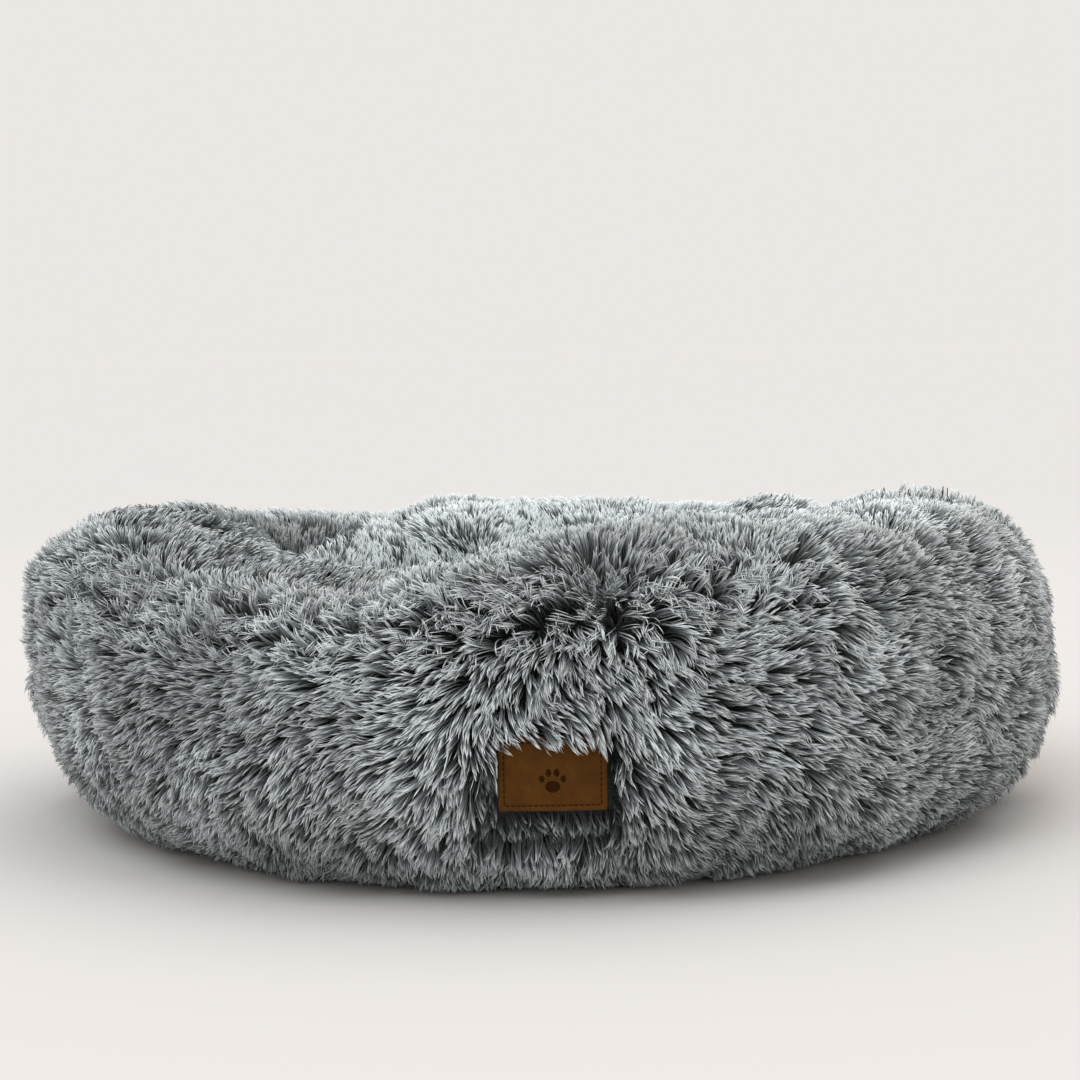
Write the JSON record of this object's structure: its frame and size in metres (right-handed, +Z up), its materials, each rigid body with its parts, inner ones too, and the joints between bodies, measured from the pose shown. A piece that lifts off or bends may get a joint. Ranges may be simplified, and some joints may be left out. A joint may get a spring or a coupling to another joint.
{
  "type": "pet cushion bed",
  "caption": "Round pet bed: a fat shaggy fur bolster ring round a sunken loose cushion, with a stitched leather tag in front and a cover zip at the back.",
  "frame": {"origin": "middle of the underside, on the surface that the bed stands on", "axes": "+Z up; -Y towards the front with the leather tag, +Y towards the back with the zip; +X to the right seen from the front"},
  "size_m": [0.756, 0.7559, 0.2158],
  "materials": {
    "wall_fur": "matte",
    "cushion_fur": "matte",
    "casing_cloth": "matte",
    "fibre_filling": "matte",
    "base_cloth": "matte",
    "binding_tape": "matte",
    "label_satin": "satin",
    "zip_tape": "matte",
    "tag_thread": "matte",
    "grip_rubber": "matte",
    "tag_leather": "satin",
    "zip_coil": "satin",
    "zip_metal": "satin"
  },
  "bodies": {
    "bed": {"outer_wall_fur": "wall_fur", "inner_wall_fur": "wall_fur", "bolster_casing": "casing_cloth", "bolster_filling": "fibre_filling", "grip_coating": "grip_rubber", "base_panel": "base_cloth", "base_binding": "binding_tape", "nest_floor": "base_cloth", "care_label": "label_satin", "leather_tag": "tag_leather", "tag_stitching": "tag_thread", "zip_tape_upper": "zip_tape", "zip_tape_lower": "zip_tape", "zip_coil_upper": "zip_coil", "zip_coil_lower": "zip_coil", "zip_top_stop": "zip_metal", "zip_bottom_stop": "zip_metal"},
    "cushion": {"cushion_top_fur": "cushion_fur", "cushion_underside": "base_cloth", "cushion_casing": "casing_cloth", "cushion_filling": "fibre_filling"},
    "slider": {"zip_slider": "zip_metal"},
    "pull": {"zip_pull": "zip_metal"}
  },
  "joints": [
    {"name": "cushion_lift", "type": "slide", "parent": "bed", "child": "cushion", "axis": [0, 0, 1], "range_m": [0, 0.3]},
    {"name": "zip_slide", "type": "hinge", "parent": "bed", "child": "slider", "pos_m": [0, 0, 0.072], "axis": [0, 0, 1], "range_deg": [-80, 0]},
    {"name": "pull_flip", "type": "hinge", "parent": "slider", "child": "pull", "pos_m": [-0.23378, 0.27861, 0.072], "axis": [0, 0, 1], "range_deg": [0, 150]}
  ]
}
